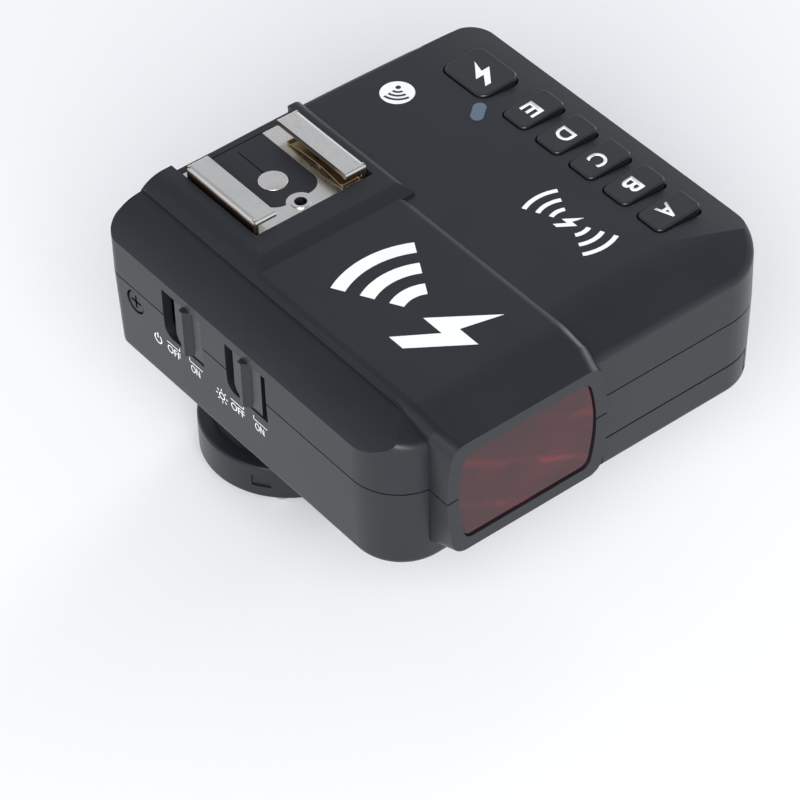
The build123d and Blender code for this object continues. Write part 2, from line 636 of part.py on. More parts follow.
def board_chips():
    """Processor, radio module with its shield can, and a few smaller packages."""
    top = 40.6 + BOARD
    places = [(-6, -20, 10, 10, 1.0), (4, -34, 12, 14, 2.2), (-8, -38, 6, 5, 1.2),
              (5, -8, 5, 4, 1.1), (-6, -4, 6, 3.5, 1.5)]
    return Compound(children=[
        block((x - w / 2, x + w / 2), (y - d / 2, y + d / 2), (top, top + h))
        for x, y, w, d, h in places])


def antenna():
    """Flat printed aerial standing at the left of the focus lamp."""
    strip = block((-14.2, -13.6), (-48, -30), (42, 49))
    for i in range(6):
        y = -46.5 + 2.8 * i
        z = (43, 50) if i % 2 else (41, 48)
        strip -= block((-15, -13), (y, y + 1.2), z)
    return strip


def key_board():
    return block((31, 45.2), (-49, 5.6), (48.4, 48.4 + BOARD)) - rod_z(31, -20, 1.5, 40, 60)


def key_switches():
    """One tactile switch under each deck key."""
    places = [(KEY_X, y) for y in key_places().values()] + [TEST_KEY[:2]]
    top = DECK - WALL - GAP - FLANGE_THICK - KEY_TRAVEL - 0.15
    bodies = []
    for x, y in places:
        base = block((x - 2.2, x + 2.2), (y - 2, y + 2), (49.4, 50.6))
        bodies.append(base + rod_z(x, y, 1.0, 50.6, top))
    return Compound(children=bodies)


def status_lamp():
    return along_z(lamp_face(0), 51.0, DECK + 0.12)


def display_window():
    face = back_wall_y(DISPLAY_X)
    return along_y(display_face(0), face - 1.5, face - 0.35)


def display_module():
    width, height = DISPLAY_SIZE
    y = back_wall_y(DISPLAY_X) - 1.9
    body = pad(DISPLAY_X, DISPLAY_Z, width + 2, height + 1.2, 0.6)
    return along_y(body, y - 2.7, y - 0.7)


def back_board():
    """Board behind the display and the four keys, with the dial's encoder on it."""
    return block((4.0, 39.0), (6.2, 7.2), (31.8, 51.2))


def back_key_switches():
    bodies = []
    for x in BACK_KEY_X:
        tip = back_wall_y(x, BACK_KEY_Z - BACK_KEY_SIZE[1]) - WALL - GAP - 0.9 - KEY_TRAVEL - 0.1
        bodies.append(block((x - 2.2, x + 2.2), (7.2, 7.9), (BACK_KEY_Z - 1.8, BACK_KEY_Z + 1.8))
                      + rod_y(x, BACK_KEY_Z, 0.9, 7.9, tip))
    return Compound(children=bodies)


def dial_encoder():
    return block((DIAL_X - 6.2, DIAL_X + 6.2), (4.8, 7.6), (DIAL_Z - 6.2, DIAL_Z + 6.2))


def sync_jack():
    """2.5 mm socket: a barrel with a nut-like collar flush in the right wall."""
    y, z, radius = JACK
    x1 = RIGHT - 0.35
    body = block((x1 - JACK_DEPTH, RIGHT - WALL - 0.5), (y - 2.6, y + 2.6), (z - 2.4, z + 2.4))
    body += rod_x(y, z, 3.0, RIGHT - WALL - 0.6, x1)
    return body - rod_x(y, z, radius, x1 - JACK_DEPTH + 1.0, RIGHT + 1)


def usb_socket():
    """Flat oval socket with its tongue, on its own small board."""
    y, z, width, height = USB
    x1 = RIGHT - 1.2
    metal = along_x(pad(y, z, width, height, height / 2 - 0.01), x1 - USB_DEPTH, x1)
    metal -= along_x(pad(y, z, width - 0.7, height - 0.7, height / 2 - 0.37), x1 - USB_DEPTH + 0.8, x1 + 1)
    return metal + block((x1 - USB_DEPTH + 0.5, x1 - 0.8), (y - 3.3, y + 3.3), (z - 0.35, z + 0.35))


# ---- foot ---------------------------------------------------------------------------
def stem_face():
    return Rot(0, 0, 90) * SlotOverall(STEM_LENGTH, STEM_WIDTH)


def contact_holes(z0, z1, extra):
    return [rod_z(x, y, r + extra, z0, z1) for x, y, r in CONTACTS]


def foot_neck():
    """Tapered pedestal with the round spigot that the lock ring turns on."""
    height = BOTTOM - RING_Z[1] - GAP
    cone = Pos(0, 0, BOTTOM - height / 2) * Cone(NECK_R, NECK_TOP_R, height)
    neck = cone + rod_z(0, 0, SPIGOT_R, RING_Z[0] + 0.1, BOTTOM - height + 1)
    neck += along_z(stem_face(), FOOT_THICK, RING_Z[0] + 0.2)
    for hole in contact_holes(0, 4.4, RUN) + contact_holes(4.4, 8.0, 0.7):
        neck -= hole
    x, y, radius = LOCK_PIN
    neck -= rod_z(x, y, radius + RUN, 0, 14)
    for x, y in FOOT_SCREWS:
        neck -= rod_z(x, y, 0.82, 0, 9)
    return neck


def foot_plate():
    plate = along_z(RectangleRounded(*FOOT_SIZE, 1.2), 0, FOOT_THICK)
    plate = chamfer(plate.edges().group_by(Axis.Z)[0], 0.25)
    for hole in contact_holes(-1, 3, RUN):
        plate -= hole
    plate -= rod_z(LOCK_PIN[0], LOCK_PIN[1], LOCK_PIN[2] + RUN, -1, 3)
    for x, y in FOOT_SCREWS:
        plate -= rod_z(x, y, 1.42, -1, 1.1) + rod_z(x, y, 0.82, -1, 3)
    return plate


def foot_screws():
    return Compound(children=[
        Pos(x, y, 0.25) * Rot(180, 0, 0) * machine_screw(1.38, 0.85, 0.8, 7) for x, y in FOOT_SCREWS])


def foot_contact(place):
    """Sprung pin with a shoulder that stops it in the neck."""
    x, y, radius = place
    pin = rod_z(x, y, radius, -CONTACT_PROUD, 5.2)
    pin = fillet(pin.edges().group_by(Axis.Z)[0], radius * 0.6)
    return pin + rod_z(x, y, radius + 0.45, 4.4 + 0.05, 5.2)


def lock_pin():
    x, y, radius = LOCK_PIN
    pin = rod_z(x, y, radius, 0.25, 11)
    return chamfer(pin.edges().group_by(Axis.Z)[0], 0.3)


def lock_ring():
    """Finger ring with a pressing tab, scalloped grip and an index mark."""
    z0, z1 = RING_Z
    ring = rod_z(0, 0, RING_R, z0, z1)
    ring = fillet(ring.edges().group_by(Axis.Z)[-1], 0.5)
    tab = along_z(pad(RING_R + 0.3, 0, TAB, TAB, 1.8), z0 + 0.4, z1 - 0.6)
    ring += Rot(0, 0, TAB_TURN) * fillet(tab.edges().group_by(Axis.Z)[-1], 0.5)
    for degrees in GRIPS:
        turn = math.radians(degrees)
        ring -= rod_z(RING_R * math.cos(turn), RING_R * math.sin(turn), 0.7, z0 - 1, z1 + 1)
    mark = Rot(0, 0, MARK_TURN) * block((RING_R - 0.35, RING_R + 1), (-1.6, 1.6), (z0 + 1.9, z1 - 2.0))
    return ring - mark - rod_z(0, 0, SPIGOT_R + RUN, 0, 12)


# ---- write every node ---------------------------------------------------------------
def build():
    outer, hollow = shell()
    save(top_housing(hollow), "top_housing")
    save(bottom_housing(outer, hollow), "bottom_housing")
    save(battery_door(outer), "battery_door")
    save(case_screws(), "case_screws")
    save(red_window(), "red_window")
    board, barrels = focus_lamp()
    save(board, "focus_lamp_board")
    save(barrels, "focus_lamp_barrels")
    save(shoe_rails(), "shoe_rails")
    save(shoe_insulator(), "shoe_insulator")
    save(shoe_centre_contact(), "shoe_centre_contact")
    save(shoe_leaf_spring(), "shoe_leaf_spring")
    for name, y in key_places().items():
        save(deck_key(KEY_X, y, KEY_LENGTH, KEY_WIDTH, 1.0), f"group_key_{name}")
    save(deck_key(*TEST_KEY, 1.6), "test_key")
    save(status_lamp(), "status_lamp")
    for number, x in enumerate(BACK_KEY_X, 1):
        save(back_key(x), f"back_key_{number}")
    save(select_dial(), "select_dial")
    save(set_key(), "set_key")
    for name in SWITCH_WINDOWS:
        save(switch_knob(name), f"{name}_knob")
        save(slide_switch(name), f"{name}_switch")
    save(display_window(), "display_window")
    save(display_module(), "display_module")
    save(back_board(), "back_board")
    save(back_key_switches(), "back_key_switches")
    save(dial_encoder(), "dial_encoder")
    save(main_board(), "main_board")
    save(board_chips(), "board_chips")
    save(antenna(), "antenna")
    save(key_board(), "key_board")
    save(key_switches(), "key_switches")
    for number, x in enumerate(CELL_X, 1):
        save(aa_cell(x), f"battery_cell_{number}")
    save(battery_contacts(), "battery_contacts")
    save(sync_jack(), "sync_jack")
    save(usb_socket(), "usb_socket")
    save(foot_neck(), "foot_neck")
    save(foot_plate(), "foot_plate")
    save(foot_screws(), "foot_screws")
    save(lock_ring(), "lock_ring")
    save(lock_pin(), "lock_pin")
    for number, place in enumerate(CONTACTS, 1):
        save(foot_contact(place), f"foot_contact_{number}")


build()
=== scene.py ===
# %% [markdown]
# # A wireless flash trigger, from bare solids to a finished model
# The trigger is a black plastic box that sits on a camera's hot shoe and fires studio flashes by radio.
# Its shapes already exist as solids, one for each moulding, key, screw and contact. This lesson gives
# every one of them a finish, adds the printed marks and the picture on its display, and then sets up the
# floor, the lights and the camera. Everything is in metres, with the front towards -Y and the lock ring's
# axis on Z.

import json
import math

import bmesh
import bpy
from mathutils import Matrix, Vector
from mathutils.bvhtree import BVHTree

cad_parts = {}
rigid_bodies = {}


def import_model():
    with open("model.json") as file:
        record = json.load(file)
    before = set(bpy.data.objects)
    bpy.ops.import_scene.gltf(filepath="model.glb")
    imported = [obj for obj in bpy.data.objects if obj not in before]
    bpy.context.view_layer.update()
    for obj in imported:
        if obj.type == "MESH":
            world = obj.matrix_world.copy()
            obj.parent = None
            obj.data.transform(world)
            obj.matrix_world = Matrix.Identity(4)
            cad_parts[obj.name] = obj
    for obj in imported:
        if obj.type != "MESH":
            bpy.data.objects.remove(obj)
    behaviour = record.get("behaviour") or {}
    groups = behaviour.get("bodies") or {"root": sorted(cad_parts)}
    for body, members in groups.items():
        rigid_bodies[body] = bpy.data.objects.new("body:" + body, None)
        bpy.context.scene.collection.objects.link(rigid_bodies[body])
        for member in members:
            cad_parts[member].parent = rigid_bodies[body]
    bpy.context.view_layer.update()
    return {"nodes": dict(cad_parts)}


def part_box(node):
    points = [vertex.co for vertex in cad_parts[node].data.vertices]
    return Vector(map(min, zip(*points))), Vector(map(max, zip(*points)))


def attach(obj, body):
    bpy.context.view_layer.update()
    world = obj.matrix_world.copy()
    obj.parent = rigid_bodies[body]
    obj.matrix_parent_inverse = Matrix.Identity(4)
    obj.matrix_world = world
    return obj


for left_over in list(bpy.data.objects):
    bpy.data.objects.remove(left_over)
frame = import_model()
MM = 0.001

# %% [markdown]
# ## Shader maths that reads like sums
# A finish is a small network of nodes. Wiring each one by hand hides the idea behind the plumbing, so a
# thin class wraps a node's output and lets + - * add the Math node that does it. The reflected forms are
# there too, so that 1 - mask works as it would on paper. Numbers that need no node are worked out in
# Python before they reach the network.

# %% A socket that can be added and multiplied
class Wire:
    """One output of a node. An operator on it adds the node that works the result out."""

    def __init__(self, bench, socket):
        self.bench, self.socket = bench, socket

    def work(self, operation, *values):
        if self.socket.type == "VECTOR":
            return self.bench.node("ShaderNodeVectorMath", {"operation": operation},
                                   dict(enumerate(values)))
        return self.bench.node("ShaderNodeMath", {"operation": operation}, dict(enumerate(values)))

    def __add__(self, other):
        return self.work("ADD", self, other)

    def __radd__(self, other):
        return self.work("ADD", other, self)

    def __sub__(self, other):
        return self.work("SUBTRACT", self, other)

    def __rsub__(self, other):
        return self.work("SUBTRACT", other, self)

    def __mul__(self, other):
        return self.work("MULTIPLY", self, other)

    def __rmul__(self, other):
        return self.work("MULTIPLY", other, self)


print("a wire can:", [name.strip("_") for name, part in vars(Wire).items() if callable(part)])

# %% [markdown]
# ## A bench for node networks
# A finish is a network that ends in a shader, and the sky is a network too. The bench holds one network
# and adds a node with its settings and sockets in a single call, so that no finish repeats the plumbing.
# The shortcuts are the few patterns that come back in almost every finish: a blend of two colours, cloudy
# noise, one coordinate, a zigzag, a smooth step and a bump.

# %% A bench for one network
class Bench:
    """One node network. node() adds any node, and the rest are named shortcuts."""

    def __init__(self, name, library=bpy.data.materials):
        self.owner = library.new(name)
        self.owner.use_nodes = True
        self.tree = self.owner.node_tree
        self.tree.nodes.clear()
        self.place = self.node("ShaderNodeTexCoord", out="Object")

    def node(self, kind, settings=None, sockets=None, out=0):
        made = self.tree.nodes.new(kind)
        for key, value in (settings or {}).items():
            if key == "stops":
                ramp = made.color_ramp.elements
                while len(ramp) < len(value):
                    ramp.new(1.0)
                for stop, (position, colour) in zip(ramp, value):
                    stop.position, stop.color = position, (*colour, 1)
            else:
                setattr(made, key, value)
        for key, value in (sockets or {}).items():
            self.feed(made.inputs[key], value)
        return Wire(self, made.outputs[out]) if made.outputs else None

    def feed(self, socket, value):
        if isinstance(value, Wire):
            self.tree.links.new(value.socket, socket)
        elif socket.type == "RGBA" and len(value) == 3:
            socket.default_value = (*value, 1)
        else:
            socket.default_value = value

    def mix(self, factor, low, high):
        """From one colour to another."""
        return self.node("ShaderNodeMix", {"data_type": "RGBA"}, {0: factor, 6: low, 7: high}, out=2)

    def noise(self, size, stretch=(1, 1, 1), detail=3.0):
        """Cloudy noise whose blobs are about size metres across, longer where stretch is above 1."""
        scale = tuple(1 / (size * s) for s in stretch)
        spot = self.node("ShaderNodeMapping", {}, {"Vector": self.place, "Scale": scale})
        return self.node("ShaderNodeTexNoise", {}, {"Vector": spot, "Scale": 1.0, "Detail": detail})

    def axis(self, name):
        """One coordinate of the surface, in metres."""
        return self.node("ShaderNodeSeparateXYZ", {}, {0: self.place}, out=name)

    def facing(self, name):
        """1 where the surface looks along the named axis, -1 where it looks the other way."""
        normal = self.node("ShaderNodeNewGeometry", out="Normal")
        return self.node("ShaderNodeSeparateXYZ", {}, {0: normal}, out=name)

    def zigzag(self, value, reach):
        """Up and down between 0 and reach as the value grows."""
        return self.node("ShaderNodeMath", {"operation": "PINGPONG"}, {0: value, 1: reach})

    def ramp(self, value, low, high):
        """0 below low, 1 above high, smooth between."""
        return self.node("ShaderNodeMapRange", {"interpolation_type": "SMOOTHSTEP"}, {
            "Value": value, "From Min": low, "From Max": high})

    def bump(self, height, depth):
        """A Normal that stands depth metres proud where height is 1."""
        return self.node("ShaderNodeBump", {}, {"Height": height, "Distance": depth, "Strength": 1.0})

    def finish(self, **sockets):
        """The Principled shader and the output. Underscores in a name stand for spaces."""
        named = {key.replace("_", " "): value for key, value in sockets.items()}
        shader = self.node("ShaderNodeBsdfPrincipled", {}, named)
        self.node("ShaderNodeOutputMaterial", {}, {"Surface": shader})
        return self.owner


FINISHES = {}
print("shortcuts:", [name for name in vars(Bench) if not name.startswith("_")])

# %% [markdown]
# ## The case plastic
# The case is moulded in black plastic with a hint of blue. The mould was spark eroded, which leaves a
# grain so fine that it only shows as a soft sheen. A picture of grain would need a flat layout of the
# surface, so the grain is noise in space instead: one fine layer for the grain, and a broad one that
# shifts the tone and the gloss a little, because no moulding is perfectly even.

# %% Moulded plastics
def moulded(name, dark, light, gloss, grain=0.00016, depth=0.000006):
    bench = Bench(name)
    fine = bench.noise(grain, detail=2.0)
    broad = bench.noise(0.014, detail=3.0)
    specks = bench.ramp(bench.noise(0.0006, detail=4.0), 0.62, 0.74)
    tone = bench.mix(broad * 0.8 + fine * 0.2, dark, light)
    rough = (broad - 0.5) * 0.10 + (fine - 0.5) * 0.06 + specks * 0.03 + gloss
    return bench.finish(Base_Color=tone, Roughness=rough, Normal=bench.bump(fine, depth), IOR=1.42)


FINISHES["case_plastic"] = moulded("case_plastic", (0.0088, 0.0102, 0.0130),
                                   (0.0128, 0.0146, 0.0182), gloss=0.37)
FINISHES["inner_plastic"] = moulded("inner_plastic", (0.008, 0.008, 0.009), (0.014, 0.014, 0.015),
                                    gloss=0.5, grain=0.0004)
print("plastics:", sorted(FINISHES))

# %% [markdown]
# ## The keys
# A key cap is the same plastic with a polished side and a matt top, because fingers should not slip.
# Which way a face looks tells the two apart: the deck keys face up and the back keys face back. The
# Geometry node's normal gives that, and a smooth ramp turns it into a mask for the gloss.

# %% Key plastic
def key_plastic():
    bench = Bench("key_plastic")
    up, back = bench.facing("Z"), bench.facing("Y")
    top = bench.ramp(up.work("MAXIMUM", up, back), 0.80, 0.97)
    fine = bench.noise(0.00013, detail=2.0)
    broad = bench.noise(0.009, detail=2.0)
    tone = bench.mix(top * 0.7 + broad * 0.3, (0.0075, 0.008, 0.0095), (0.0165, 0.0175, 0.020))
    rough = top * 0.20 + (broad - 0.5) * 0.06 + 0.24
    return bench.finish(Base_Color=tone, Roughness=rough, Normal=bench.bump(fine * top, 0.000007),
                        IOR=1.5)


FINISHES["key_plastic"] = key_plastic()
print("key plastic: matt tops, polished sides")

# %% [markdown]
# ## The red window
# The window is a pane of deep red acrylic. It looks almost black where nothing lies behind it and shows
# faint red streaks where light bounces between its faces. The pane is tinted all through, so its colour
# comes from the light that passes it: the shader lets a share of the light through and keeps a gloss on
# top. A stretched noise that leans across the pane gives the streaks their place.

# %% Red acrylic
STREAK_SLOPE, STREAK_PITCH, STREAK_WIDTH = 0.55, 0.0042, 0.0011


def red_window():
    bench = Bench("red_window")
    low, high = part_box("red_window")
    centre = (low + high) / 2
    lean = bench.axis("Z") - centre.z + (bench.axis("X") - centre.x) * STREAK_SLOPE
    wander = bench.noise(0.007, detail=2.0) - 0.5
    streak = 1.0 - bench.ramp(bench.zigzag(lean + wander * 0.003, STREAK_PITCH), 0.0, STREAK_WIDTH)
    veil = bench.ramp(bench.noise(0.011, stretch=(1.6, 1, 0.8), detail=3.0), 0.35, 0.72)
    # Painted light: the streaks and the veil are lighter red painted into the colour, standing in for light
    # that bounces inside the pane
    glow = streak * veil * 0.45 + veil * 0.15
    tone = bench.mix(glow, (0.030, 0.0040, 0.0070), (0.24, 0.016, 0.024))
    rough = veil * 0.05 + 0.09
    return bench.finish(Base_Color=tone, Roughness=rough, Transmission_Weight=0.15, IOR=1.46,
                        Normal=bench.bump(bench.noise(0.004), 0.000012))


FINISHES["red_window"] = red_window()
print("streaks every", 2 * STREAK_PITCH / MM, "mm")

# %% [markdown]
# ## Clear parts and the display
# The display sits behind a clear window, and the status lamp is a smoky blue lens. Both are cast plastic:
# a share of the light passes, the rest is a sharp reflection, and a slight haze keeps them from looking
# like glass. The liquid crystal itself is a grey-green film, and its fine grid of dots is two folded
# coordinates.

# %% Clear plastic, the lamp's lens and the display
def clear(name, tint, rough, passing):
    bench = Bench(name)
    haze = bench.noise(0.0015, detail=2.0)
    tone = bench.mix(haze, tint, tuple(min(1.0, c * 1.12 + 0.004) for c in tint))
    return bench.finish(Base_Color=tone, Roughness=haze * 0.04 + rough, IOR=1.49,
                        Transmission_Weight=passing, Normal=bench.bump(haze, 0.000004))


DOT_PITCH = 0.00028


def display_film():
    """The liquid crystal: a grey-green film with a fine grid of dots."""
    bench = Bench("display_film")
    lines = [bench.zigzag(bench.axis(name), DOT_PITCH / 2) for name in ("X", "Z")]
    dots = bench.ramp(lines[0].work("MINIMUM", *lines), 0.00001, 0.00003)
    cloud = bench.noise(0.02, detail=2.0)
    tone = bench.mix(dots * 0.6 + cloud * 0.4, (0.23, 0.27, 0.23), (0.36, 0.41, 0.34))
    return bench.finish(Base_Color=tone, Roughness=0.35 + cloud * 0.1)


FINISHES["clear_plastic"] = clear("clear_plastic", (0.80, 0.82, 0.84), rough=0.05, passing=0.9)
FINISHES["lamp_lens"] = clear("lamp_lens", (0.10, 0.135, 0.19), rough=0.16, passing=0.15)
FINISHES["display_glass"] = clear("display_glass", (0.90, 0.92, 0.93), rough=0.02, passing=1.0)
FINISHES["display_film"] = display_film()
print("finishes so far:", list(FINISHES))

# %% [markdown]
# ## Metals
# The shoe is bent from rolled sheet with a nickel plate. Rolling leaves fine lines along the sheet, so
# the roughness and a shallow bump follow noise that is stretched along one axis. Faint warm patches stand
# for the thin tarnish that nickel silver picks up, and the rails' left faces get a painted brown
# reflection mixed with tarnish. The spring under the lip is bare bronze, darker and yellower.

# %% Rolled, plated and turned metals
def metal(name, dark, light, rough, stretch=(1, 1, 1), line=0.00012, depth=0.0000025, stain=None,
          left_reflection_and_tarnish=None):
    bench = Bench(name)
    lines = bench.noise(line, stretch=stretch, detail=3.0)
    patches = bench.noise(0.0035, detail=4.0)
    tone = bench.mix(lines * 0.35 + patches * 0.65, dark, light)
    if stain:
        tone = bench.mix(bench.ramp(patches, 0.56, 0.80) * 0.5, tone, stain)
    # Painted reflection: faces that look towards -X get a browner tone for the dark brown they mirror,
    # mixed with the tarnish patches
    if left_reflection_and_tarnish:
        painted_reflection_side = bench.ramp(-1.0 * bench.facing("X"), 0.70, 0.95)
        tone = bench.mix(painted_reflection_side * (0.5 + patches * 0.8), tone, left_reflection_and_tarnish)
    wear = (lines - 0.5) * 0.16 + (patches - 0.5) * 0.12 + rough
    return bench.finish(Base_Color=tone, Metallic=1.0, Roughness=wear, Normal=bench.bump(lines, depth))


FINISHES["nickel_sheet"] = metal("nickel_sheet", (0.74, 0.71, 0.66), (0.95, 0.92, 0.87), rough=0.27,
                                 stretch=(1, 14, 1), stain=(0.62, 0.52, 0.42),
                                 left_reflection_and_tarnish=(0.26, 0.17, 0.13))
FINISHES["spring_bronze"] = metal("spring_bronze", (0.26, 0.18, 0.10), (0.42, 0.31, 0.18), rough=0.32,
                                  stretch=(1, 10, 1))
FINISHES["gold_contact"] = metal("gold_contact", (0.70, 0.50, 0.20), (0.88, 0.68, 0.33), rough=0.22)
FINISHES["screw_steel"] = metal("screw_steel", (0.030, 0.032, 0.036), (0.065, 0.068, 0.074), rough=0.33)
FINISHES["foot_metal"] = metal("foot_metal", (0.42, 0.42, 0.42), (0.60, 0.60, 0.60), rough=0.30,
                               stretch=(14, 1, 1))
METAL_WORDS = ("sheet", "bronze", "contact", "steel", "metal")
print("metals:", [name for name in FINISHES if name.split("_")[-1] in METAL_WORDS])

# %% [markdown]
# ## Inside: the boards and the two cells
# These only show when the battery door is slid off, yet they get their own finish. A board is green
# lacquer over copper tracks, so a lattice of lines shows through in a lighter green. A cell has a printed
# jacket with a coloured band at one end and a bare steel cap.

# %% Board lacquer and cell jacket
TRACK_PITCH = 0.0018
CAP_Y, BAND_Y = (-0.0536, -0.0533), (-0.0400, -0.0398)  # where the cell's cap and its band end


def circuit_board():
    bench = Bench("circuit_board")
    fine = bench.noise(0.0012, detail=2.0)
    steps = [bench.zigzag(bench.axis(name) + fine * 0.0006, TRACK_PITCH / 2) for name in ("X", "Y")]
    tracks = bench.ramp(steps[0].work("MINIMUM", *steps), 0.00022, 0.00030)
    tone = bench.mix(tracks, (0.030, 0.105, 0.045), (0.010, 0.050, 0.022))
    return bench.finish(Base_Color=tone, Roughness=0.32 + fine * 0.1,
                        Normal=bench.bump(1.0 - tracks, 0.00002))


def cell_jacket():
    bench = Bench("cell_jacket")
    y = bench.axis("Y")
    band = bench.ramp(y, *BAND_Y)
    cap = 1.0 - bench.ramp(y, *CAP_Y)
    fine = bench.noise(0.0008, detail=2.0)
    print_tone = bench.mix(band, (0.55, 0.30, 0.09), (0.018, 0.018, 0.020))
    tone = bench.mix(cap, print_tone, (0.62, 0.62, 0.62))
    return bench.finish(Base_Color=tone, Metallic=cap * 0.7 + 0.3, Roughness=0.25 + fine * 0.08)


FINISHES["circuit_board"] = circuit_board()
FINISHES["cell_jacket"] = cell_jacket()
print("finishes:", len(FINISHES))

# %% [markdown]
# ## Finish the solids
# Every solid comes with a slot that names its finish. The slot keeps its name and gets the new material,
# so a solid that is added later is dressed in the same way.

# %% Put the finishes on the solids
for name, solid in frame["nodes"].items():
    for place in solid.material_slots:
        place.material = FINISHES[place.material.name.split(".")[0]]
print("solids with a finish:", sum(1 for solid in frame["nodes"].values() if solid.material_slots))

# %% [markdown]
# ## Printed marks
# The marks are screen printed: a layer of white ink two hundredths of a millimetre thick that follows
# the surface under it. Painting them inside a material would need a layout of every face, so each mark is
# its own thin piece. It is drawn flat as a filled curve, then each of its points drops onto the solid
# along the print direction. The device's own name is left off, and plain radio and flash symbols take its
# place.

# %% Ink finishes
def ink(name, low, high, rough=0.5):
    bench = Bench(name)
    fine = bench.noise(0.00025, detail=2.0)
    broad = bench.noise(0.006, detail=2.0)
    tone = bench.mix(broad * 0.6 + fine * 0.4, low, high)
    return bench.finish(Base_Color=tone, Roughness=(fine - 0.5) * 0.12 + rough,
                        Normal=bench.bump(fine, 0.000002))


WHITE_INK = ink("white_ink", (0.72, 0.73, 0.74), (0.86, 0.87, 0.88))
BLACK_INK = ink("black_ink", (0.010, 0.011, 0.012), (0.018, 0.019, 0.021))
SEGMENT_INK = ink("segment_ink", (0.020, 0.026, 0.024), (0.035, 0.042, 0.038), rough=0.3)
INK_THICK, INK_GAP = 0.00002, 0.000008
print("ink layer:", INK_THICK / MM, "mm")

# %% [markdown]
# ## Outlines for the marks
# A mark is made of a few strokes: bands along a circle, discs, straight bars and a flash bolt. Each is a
# list of points in millimetres, worked out from a centre, a radius and an angle, so that a symbol can be
# resized with one number. Only the bolt is a shape of its own, and it is drawn one unit tall.

# %% Drawing flat outlines, in millimetres
def polar(x, y, radius, degrees):
    """The point at a radius and an angle from x, y."""
    turn = math.radians(degrees)
    return x + radius * math.cos(turn), y + radius * math.sin(turn)


def ring_part(x, y, radius, width, start, end, steps=28):
    """A band along a circle from start to end degrees."""
    turns = [start + (end - start) * i / steps for i in range(steps + 1)]
    outer = [polar(x, y, radius + width / 2, turn) for turn in turns]
    inner = [polar(x, y, radius - width / 2, turn) for turn in turns]
    return outer + inner[::-1]


def disc(x, y, radius, steps=48):
    return [polar(x, y, radius, 360 * i / steps) for i in range(steps)]


def bar(x0, y0, x1, y1, width):
    """A straight stroke between two points."""
    along = Vector((x1 - x0, y1 - y0)).normalized()
    side = Vector((-along.y, along.x)) * width / 2
    return [(x0 + side.x, y0 + side.y), (x0 - side.x, y0 - side.y),
            (x1 - side.x, y1 - side.y), (x1 + side.x, y1 + side.y)]


BOLT = [(0.10, 0.50), (-0.30, -0.06), (-0.03, -0.06), (-0.14, -0.50), (0.30, 0.10), (0.03, 0.10),
        (0.30, 0.50)]


def bolt(x, y, height):
    """A flash bolt centred on x, y."""
    return [(x + u * height, y + v * height) for u, v in BOLT]


def box_outline(x0, y0, x1, y1):
    return [(x0, y0), (x1, y0), (x1, y1), (x0, y1)]


def waves(x, y, radii, width, facing, spread):
    """Radio waves: arcs that open towards facing degrees and reach spread degrees to each side of it."""
    return [ring_part(x, y, r, width, facing - spread, facing + spread) for r in radii]


print("a bolt has", len(BOLT), "points, a wave", len(ring_part(0, 0, 1, 0.2, 0, 90)))

# %% [markdown]
# ## From outline to mesh
# A flat curve with its fill switched on turns closed outlines into faces and makes an outline inside
# another a hole, which saves cutting by hand. Letters come from a font curve in the same way. The filled
# curve is copied into a plain mesh, and points that share a place are merged so that the edges stay
# clean.

# %% Flat outlines become a mesh
def filled(name, outlines):
    """A flat mesh from closed outlines in millimetres. An outline inside another is a hole."""
    curve = bpy.data.curves.new(name, "CURVE")
    curve.dimensions, curve.fill_mode = "2D", "BOTH"
    for outline in outlines:
        spline = curve.splines.new("POLY")
        spline.points.add(len(outline) - 1)
        for point, (u, v) in zip(spline.points, outline):
            point.co = (u, v, 0, 1)
        spline.use_cyclic_u = True
    return to_mesh(name, curve)


def lettered(name, text, height, width=None, bold=0.0):
    """A mesh of plain letters, centred, with capitals height tall and squeezed to width."""
    curve = bpy.data.curves.new(name, "FONT")
    curve.body, curve.size = text, 1.0
    curve.align_x, curve.offset = "CENTER", bold
    mesh = to_mesh(name, curve)
    us, vs = [v.co.x for v in mesh.vertices], [v.co.y for v in mesh.vertices]
    tall = height / (max(vs) - min(vs))
    wide = width / (max(us) - min(us)) if width else tall
    for v in mesh.vertices:
        v.co.x = (v.co.x - (max(us) + min(us)) / 2) * wide
        v.co.y = (v.co.y - (max(vs) + min(vs)) / 2) * tall
    return mesh


def to_mesh(name, curve):
    """The curve's fill as a clean mesh with shared corners."""
    drawn = bpy.data.objects.new(name, curve)
    bpy.context.scene.collection.objects.link(drawn)
    bpy.context.view_layer.update()
    mesh = bpy.data.meshes.new_from_object(drawn.evaluated_get(bpy.context.evaluated_depsgraph_get()))
    bpy.data.objects.remove(drawn)
    shape = bmesh.new()
    shape.from_mesh(mesh)
    bmesh.ops.remove_doubles(shape, verts=shape.verts, dist=1e-5)
    bmesh.ops.dissolve_degenerate(shape, edges=shape.edges, dist=1e-5)
    shape.to_mesh(mesh)
    shape.free()
    return mesh


print("one letter has", len(lettered("probe", "A", 3.0).vertices), "points")

# %% [markdown]
# ## Laying a mark on a surface
# The deck bows a little and its edges slope, so a flat mark would sink in or float. Each point of the
# flat mesh starts well above the solid and falls along the print direction until it meets a face. The
# sheet is then thickened by the ink, and the piece rides on the same body as the solid, so it moves with
# its key.

# %% Lay a mark on a solid
SURFACES = {}
DROP = 0.02


def surface(node):
    """A search tree of a solid's faces, made once for each solid."""
    if node not in SURFACES:
        mesh = frame["nodes"][node].data
        mesh.calc_loop_triangles()
        SURFACES[node] = BVHTree.FromPolygons([v.co for v in mesh.vertices],
                                              [tuple(t.vertices) for t in mesh.loop_triangles])
    return SURFACES[node]


